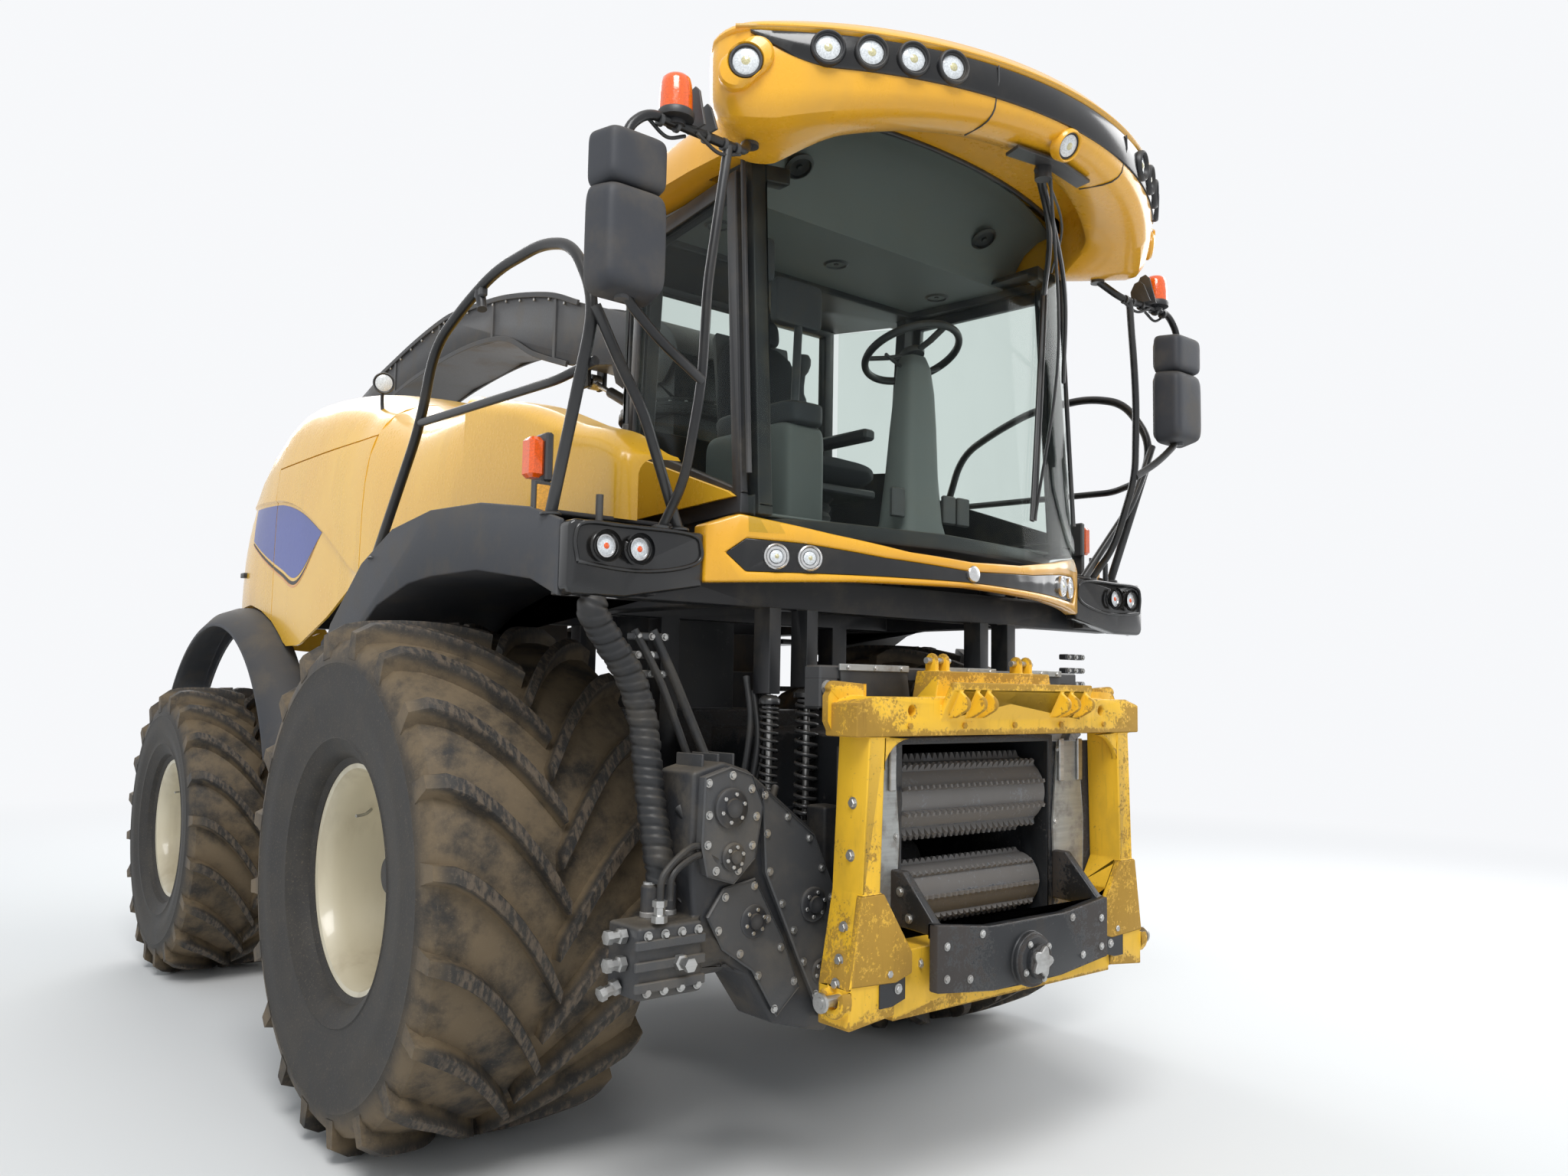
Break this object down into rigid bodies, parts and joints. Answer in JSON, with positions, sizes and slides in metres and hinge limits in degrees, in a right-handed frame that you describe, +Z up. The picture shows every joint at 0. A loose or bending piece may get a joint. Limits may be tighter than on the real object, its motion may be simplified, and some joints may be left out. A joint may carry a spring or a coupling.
{
  "type": "self-propelled forage harvester",
  "caption": "Self-propelled forage harvester: cab, feed rolls in a tilting coupling frame, bonnet, turning spout, steered rear wheels.",
  "frame": {"origin": "middle of the overall box, on the ground", "axes": "+X to the driver's left, +Y to the rear, +Z up"},
  "size_m": [3.47, 6.9255, 3.954],
  "materials": {
    "chassis_black": "satin black paint",
    "engine_iron": "black painted castings, dusty",
    "body_yellow": "glossy warm yellow paint on moulded panels",
    "frame_yellow": "chipped yellow paint with rust",
    "grey_plastic": "dark grey textured moulding",
    "gloss_black": "gloss black",
    "black_plastic": "satin black",
    "cab_glass": "tinted",
    "seat_fabric": "dark woven cloth",
    "rim_white": "cream white gloss paint",
    "tyre_rubber": "dusty black rubber",
    "bright_steel": "worn bright steel",
    "spring_steel": "black painted spring steel",
    "hose_rubber": "spiral wrapped hose"
  },
  "bodies": {
    "chassis": {"chassis_frame": "chassis_black", "front_axle": "chassis_black", "rear_axle": "chassis_black", "engine_block": "engine_iron", "cutterhead_housing": "chassis_black", "hood": "body_yellow", "lower_panels": "grey_plastic", "rear_fenders": "grey_plastic", "front_fenders": "grey_plastic", "wings": "gloss_black", "nose_band": "body_yellow", "nose_insert": "gloss_black", "cab_frame": "black_plastic", "cab_side_panels": "body_yellow", "roof": "body_yellow", "lamp_band": "gloss_black", "windscreen": "cab_glass", "cab_glass": "cab_glass", "seat": "seat_fabric", "steering_column": "black_plastic", "console": "black_plastic", "handrails": "chassis_black", "ladder": "chassis_black", "mirrors": "black_plastic", "feeder_springs": "spring_steel", "hydraulic_hoses": "hose_rubber"},
    "cab_door": {"door_frame": "black_plastic", "door_glass": "cab_glass"},
    "service_door_left": {"service_door_left": "body_yellow"},
    "service_door_right": {"service_door_right": "body_yellow"},
    "rear_door": {"rear_door": "black_plastic"},
    "knuckle_left": {"knuckle_left": "chassis_black"},
    "knuckle_right": {"knuckle_right": "chassis_black"},
    "tie_rod": {"tie_rod": "bright_steel"},
    "feeder": {"feeder_housing": "chassis_black", "feeder_gearbox": "engine_iron", "swing_plate": "chassis_black"},
    "coupling_frame": {"coupling_frame": "frame_yellow"},
    "upper_front_roll": {"upper_front_roll": "bright_steel"},
    "upper_rear_roll": {"upper_rear_roll": "bright_steel"},
    "lower_front_roll": {"lower_front_roll": "bright_steel"},
    "lower_rear_roll": {"lower_rear_roll": "bright_steel"},
    "lift_barrels": {"lift_barrels": "chassis_black"},
    "lift_rods": {"lift_rods": "bright_steel"},
    "spout_turret": {"spout_turret": "chassis_black"},
    "spout": {"spout": "chassis_black"},
    "spout_flap": {"spout_flap": "chassis_black"},
    "spout_cylinder": {"spout_cylinder": "chassis_black"},
    "spout_rod": {"spout_rod": "bright_steel"},
    "front_wheel_left": {"front_rim_left": "rim_white", "front_tyre_left": "tyre_rubber"},
    "front_wheel_right": {"front_rim_right": "rim_white", "front_tyre_right": "tyre_rubber"},
    "rear_wheel_left": {"rear_rim_left": "rim_white", "rear_tyre_left": "tyre_rubber"},
    "rear_wheel_right": {"rear_rim_right": "rim_white", "rear_tyre_right": "tyre_rubber"}
  },
  "joints": [
    {"name": "front_wheel_left_spin", "type": "hinge", "parent": "chassis", "child": "front_wheel_left", "pos_m": [1.29, -1.497, 0.946], "axis": [1, 0, 0], "continuous": true},
    {"name": "front_wheel_right_spin", "type": "hinge", "parent": "chassis", "child": "front_wheel_right", "pos_m": [-1.29, -1.497, 0.946], "axis": [1, 0, 0], "continuous": true},
    {"name": "steer_left", "type": "hinge", "parent": "chassis", "child": "knuckle_left", "pos_m": [0.82, 1.663, 0.803], "axis": [0, 0, 1], "range_deg": [-30, 30]},
    {"name": "steer_right", "type": "hinge", "parent": "chassis", "child": "knuckle_right", "pos_m": [-0.82, 1.663, 0.803], "axis": [0, 0, 1], "range_deg": [-30, 30]},
    {"name": "tie_rod_swing", "type": "hinge", "parent": "knuckle_left", "child": "tie_rod", "pos_m": [0.82, 1.923, 0.705], "axis": [0, 0, 1], "range_deg": [-30, 30]},
    {"name": "rear_wheel_left_spin", "type": "hinge", "parent": "knuckle_left", "child": "rear_wheel_left", "pos_m": [1.235, 1.663, 0.803], "axis": [1, 0, 0], "continuous": true},
    {"name": "rear_wheel_right_spin", "type": "hinge", "parent": "knuckle_right", "child": "rear_wheel_right", "pos_m": [-1.235, 1.663, 0.803], "axis": [1, 0, 0], "continuous": true},
    {"name": "feeder_lift", "type": "hinge", "parent": "chassis", "child": "feeder", "pos_m": [0, -1.947, 1.15], "axis": [1, 0, 0], "range_deg": [-4, 18], "deforming": ["feeder_springs", "hydraulic_hoses"]},
    {"name": "lift_barrel_swing", "type": "hinge", "parent": "chassis", "child": "lift_barrels", "pos_m": [0, -1.747, 0.6], "axis": [1, 0, 0], "range_deg": [-6, 20]},
    {"name": "lift_rod_slide", "type": "slide", "parent": "lift_barrels", "child": "lift_rods", "axis": [0, -0.996, 0.0896], "range_m": [-0.2, 0.06]},
    {"name": "frame_tilt", "type": "hinge", "parent": "feeder", "child": "coupling_frame", "pos_m": [0, -3.127, 0.77], "axis": [0, 1, 0], "range_deg": [-4, 4]},
    {"name": "upper_front_roll_spin", "type": "hinge", "parent": "feeder", "child": "upper_front_roll", "pos_m": [0, -2.917, 1.29], "axis": [1, 0, 0], "continuous": true},
    {"name": "upper_rear_roll_spin", "type": "hinge", "parent": "feeder", "child": "upper_rear_roll", "pos_m": [0, -2.297, 1.23], "axis": [1, 0, 0], "continuous": true},
    {"name": "lower_front_roll_spin", "type": "hinge", "parent": "feeder", "child": "lower_front_roll", "pos_m": [0, -2.917, 0.96], "axis": [1, 0, 0], "continuous": true},
    {"name": "lower_rear_roll_spin", "type": "hinge", "parent": "feeder", "child": "lower_rear_roll", "pos_m": [0, -2.317, 0.95], "axis": [1, 0, 0], "continuous": true},
    {"name": "spout_turn", "type": "hinge", "parent": "chassis", "child": "spout_turret", "pos_m": [0, -1.147, 2.96], "axis": [0, 0, 1], "range_deg": [-100, 100]},
    {"name": "spout_lift", "type": "hinge", "parent": "spout_turret", "child": "spout", "pos_m": [0, -1.147, 3.13], "axis": [1, 0, 0], "range_deg": [0, 25]},
    {"name": "spout_cylinder_swing", "type": "hinge", "parent": "spout_turret", "child": "spout_cylinder", "pos_m": [0, -0.857, 3.03], "axis": [1, 0, 0], "range_deg": [-1, 33]},
    {"name": "spout_rod_slide", "type": "slide", "parent": "spout_cylinder", "child": "spout_rod", "axis": [0, 0.8944, 0.4472], "range_m": [-0.01, 0.14]},
    {"name": "spout_flap_tilt", "type": "hinge", "parent": "spout", "child": "spout_flap", "pos_m": [0, 3.023, 3.54], "axis": [1, 0, 0], "range_deg": [-32, 0]},
    {"name": "cab_door_swing", "type": "hinge", "parent": "chassis", "child": "cab_door", "pos_m": [0.88033, -2.77419, 2.302], "axis": [0.009, -0.0713, -0.9974], "range_deg": [0, 45]},
    {"name": "service_door_left_lift", "type": "hinge", "parent": "chassis", "child": "service_door_left", "pos_m": [1.126, 0.483, 2.856], "axis": [0, -1, 0], "range_deg": [0, 70]},
    {"name": "service_door_right_lift", "type": "hinge", "parent": "chassis", "child": "service_door_right", "pos_m": [-1.126, 0.483, 2.856], "axis": [0, 1, 0], "range_deg": [0, 70]},
    {"name": "rear_door_lift", "type": "hinge", "parent": "chassis", "child": "rear_door", "pos_m": [0, 2.274, 2.556], "axis": [1, 0, 0], "range_deg": [0, 75]}
  ],
  "couplings": [
    {"joint": "steer_right", "follows": "steer_left", "ratio": 1},
    {"joint": "tie_rod_swing", "follows": "steer_left", "ratio": -1},
    {"joint": "lift_barrel_swing", "follows": "feeder_lift", "ratio": 0.79098},
    {"joint": "lift_rod_slide", "follows": "feeder_lift", "m_per_rad": -0.54998},
    {"joint": "spout_cylinder_swing", "follows": "spout_lift", "ratio": 1.2441},
    {"joint": "spout_rod_slide", "follows": "spout_lift", "m_per_rad": 0.25879}
  ]
}
